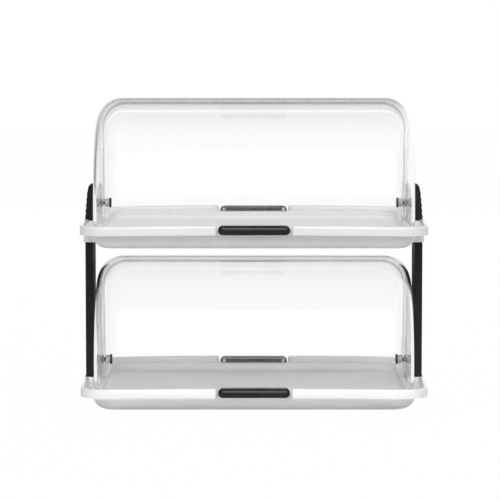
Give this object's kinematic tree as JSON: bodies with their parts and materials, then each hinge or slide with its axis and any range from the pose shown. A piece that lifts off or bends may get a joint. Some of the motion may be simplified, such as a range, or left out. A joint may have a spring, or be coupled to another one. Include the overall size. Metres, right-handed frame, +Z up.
{
  "type": "two-tier roll-top bread display",
  "caption": "Countertop bread display: white trays on flat posts, each under clear nested roll-top covers that open from the front and the rear.",
  "frame": {"origin": "on the counter, under the middle of the lower tray", "axes": "+X along the trays to the right as seen from the front, +Y to the rear, +Z up"},
  "size_m": [0.44, 0.315, 0.3903],
  "materials": {
    "tray_white": "satin moulded",
    "liner_white": "satin moulded",
    "cover_clear": "clear polished polycarbonate",
    "handle_black": "semi-gloss moulded",
    "upright_black": "fine-textured moulded",
    "pivot_black": "semi-gloss moulded",
    "spacer_grey": "nylon",
    "screw_steel": "plain stainless"
  },
  "bodies": {
    "root": {"lower_tub": "tray_white", "lower_serving_tray": "liner_white", "left_upright": "upright_black", "right_upright": "upright_black"},
    "upper_tier": {"upper_tub": "tray_white", "upper_serving_tray": "liner_white"},
    "lower_front_cover": {"lower_front_cover": "cover_clear", "lower_front_handle": "handle_black", "lower_front_handle_screws": "screw_steel"},
    "lower_rear_cover": {"lower_rear_cover": "cover_clear", "lower_rear_handle": "handle_black", "lower_rear_handle_screws": "screw_steel", "lower_left_pivot_bolt": "pivot_black", "lower_left_pivot_washer": "spacer_grey", "lower_left_pivot_sleeve": "spacer_grey", "lower_left_pivot_cap": "pivot_black", "lower_right_pivot_bolt": "pivot_black", "lower_right_pivot_washer": "spacer_grey", "lower_right_pivot_sleeve": "spacer_grey", "lower_right_pivot_cap": "pivot_black"},
    "upper_front_cover": {"upper_front_cover": "cover_clear", "upper_front_handle": "handle_black", "upper_front_handle_screws": "screw_steel"},
    "upper_rear_cover": {"upper_rear_cover": "cover_clear", "upper_rear_handle": "handle_black", "upper_rear_handle_screws": "screw_steel", "upper_left_pivot_bolt": "pivot_black", "upper_left_pivot_washer": "spacer_grey", "upper_left_pivot_sleeve": "spacer_grey", "upper_left_pivot_cap": "pivot_black", "upper_right_pivot_bolt": "pivot_black", "upper_right_pivot_washer": "spacer_grey", "upper_right_pivot_sleeve": "spacer_grey", "upper_right_pivot_cap": "pivot_black"}
  },
  "joints": [
    {"name": "upper_tray_lift", "type": "slide", "parent": "root", "child": "upper_tier", "axis": [0, 0, 1], "range_m": [0, 0.075]},
    {"name": "lower_front_cover_hinge", "type": "hinge", "parent": "root", "child": "lower_front_cover", "pos_m": [0, 0, 0.0482], "axis": [1, 0, 0], "range_deg": [-85, 0]},
    {"name": "lower_rear_cover_hinge", "type": "hinge", "parent": "root", "child": "lower_rear_cover", "pos_m": [0, 0, 0.0482], "axis": [1, 0, 0], "range_deg": [0, 85]},
    {"name": "upper_front_cover_hinge", "type": "hinge", "parent": "upper_tier", "child": "upper_front_cover", "pos_m": [0, 0, 0.2537], "axis": [1, 0, 0], "range_deg": [-85, 0]},
    {"name": "upper_rear_cover_hinge", "type": "hinge", "parent": "upper_tier", "child": "upper_rear_cover", "pos_m": [0, 0, 0.2537], "axis": [1, 0, 0], "range_deg": [0, 85]}
  ]
}
